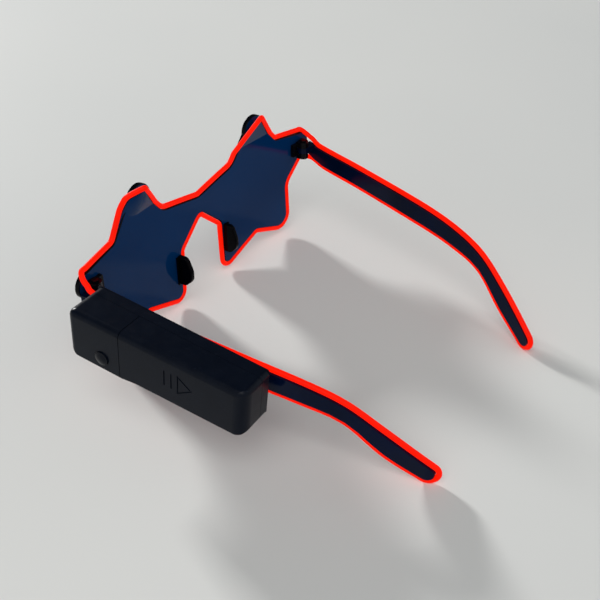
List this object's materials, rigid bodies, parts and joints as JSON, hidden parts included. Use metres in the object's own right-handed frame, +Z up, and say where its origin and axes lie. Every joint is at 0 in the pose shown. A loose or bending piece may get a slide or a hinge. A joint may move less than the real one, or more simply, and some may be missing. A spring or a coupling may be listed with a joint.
{
  "type": "light-up glasses",
  "caption": "Dark star-shaped glasses edged with a glowing red wire, with folding temples and a battery box on one of them.",
  "frame": {"origin": "on the floor under the middle of the bridge, at the front sheet's plane", "axes": "+X towards the wearer's left, the side with the battery box; +Y towards the temples' ends; +Z up, with the stars' lower tips and the temples' ends on the floor"},
  "size_m": [0.1607, 0.1389, 0.0686],
  "materials": {
    "lens": "gloss",
    "glow": "satin",
    "black_plastic": "gloss",
    "temple_plastic": "gloss",
    "case": "satin",
    "button": "satin",
    "steel": "gloss",
    "board": "satin",
    "ferrite": "satin",
    "copper": "satin",
    "component": "satin",
    "lead": "satin",
    "cell": "satin"
  },
  "bodies": {
    "front": {"lens_plate": "lens", "upper_wire": "glow", "lower_wire": "glow", "left_nose_pad": "black_plastic", "right_nose_pad": "black_plastic", "left_front_hinge": "black_plastic", "right_front_hinge": "black_plastic", "left_hinge_screw": "steel", "right_hinge_screw": "steel"},
    "left_temple": {"left_temple": "temple_plastic", "left_temple_wire": "glow", "box_base": "case", "driver_cap": "case", "box_screws": "steel", "cap_screws": "steel", "driver_board": "board", "tact_switch": "component", "inverter_core": "ferrite", "inverter_winding": "copper", "capacitor": "component", "transistor": "component", "wire_lead": "lead", "battery_cell": "cell", "contact_spring": "steel", "contact_plate": "steel"},
    "right_temple": {"right_temple": "temple_plastic", "right_temple_wire": "glow"},
    "battery_cover": {"battery_cover": "case"},
    "power_button": {"power_button": "button"}
  },
  "joints": [
    {"name": "left_hinge", "type": "hinge", "parent": "front", "child": "left_temple", "pos_m": [0.066, 0.0076, 0.0404], "axis": [0, 0, 1], "range_deg": [0, 70]},
    {"name": "right_hinge", "type": "hinge", "parent": "front", "child": "right_temple", "pos_m": [-0.066, 0.0076, 0.0404], "axis": [0, 0, -1], "range_deg": [-3.3, 75]},
    {"name": "cover_slide", "type": "slide", "parent": "left_temple", "child": "battery_cover", "axis": [-0.0365, 0.9951, -0.0924], "range_m": [0, 0.02]},
    {"name": "button_press", "type": "slide", "parent": "left_temple", "child": "power_button", "axis": [-0.9993, -0.0366, 0], "range_m": [0, 0.0005], "stiffness_N_per_m": 400}
  ]
}
